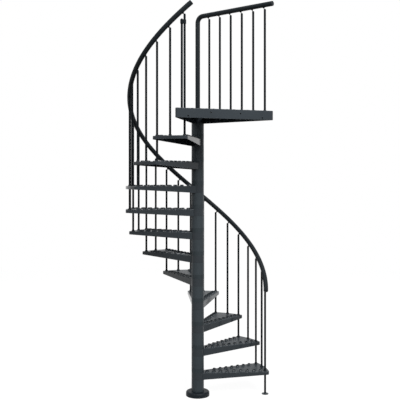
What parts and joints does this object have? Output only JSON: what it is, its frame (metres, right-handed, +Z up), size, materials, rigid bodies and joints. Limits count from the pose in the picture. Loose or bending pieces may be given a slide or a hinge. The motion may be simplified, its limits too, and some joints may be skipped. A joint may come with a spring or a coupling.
{
  "type": "spiral staircase",
  "caption": "Spiral staircase with open sheet-steel treads on a round column, a triangular landing, round balusters and a helical tube handrail.",
  "frame": {"origin": "centre of the base plate's underside, on the column's axis, at floor level", "axes": "+Z up the column; the landing's fixing face points to -Y; the stair climbs anticlockwise seen from above"},
  "size_m": [1.389, 1.4364, 3.6795],
  "materials": {
    "coated_steel": "satin powder coat",
    "tread_coating": "satin powder coat",
    "handrail_coating": "satin powder coat",
    "black_plastic": "matte",
    "dark_fittings": "satin"
  },
  "bodies": {
    "root": {"baluster_collars": "black_plastic", "baluster_foot": "coated_steel", "base_cover": "black_plastic", "base_plate": "coated_steel", "base_sleeve": "coated_steel", "centre_pole": "coated_steel", "column_cap": "coated_steel", "column_sleeves": "coated_steel", "end_bar_clamp": "coated_steel", "first_baluster": "coated_steel", "handrail_caps": "black_plastic", "handrail_lower": "handrail_coating", "handrail_upper": "handrail_coating", "joint_rings": "black_plastic", "landing": "tread_coating", "landing_balusters": "coated_steel", "landing_collars": "black_plastic", "landing_end_bar": "coated_steel", "landing_pins": "dark_fittings", "landing_rail": "handrail_coating", "landing_rail_cap": "black_plastic", "last_baluster": "coated_steel", "rail_pins": "dark_fittings", "shared_balusters": "coated_steel", "tread_01": "tread_coating", "tread_02": "tread_coating", "tread_03": "tread_coating", "tread_04": "tread_coating", "tread_05": "tread_coating", "tread_06": "tread_coating", "tread_07": "tread_coating", "tread_08": "tread_coating", "tread_09": "tread_coating", "tread_10": "tread_coating", "tread_11": "tread_coating", "tread_balusters": "coated_steel"}
  },
  "joints": []
}
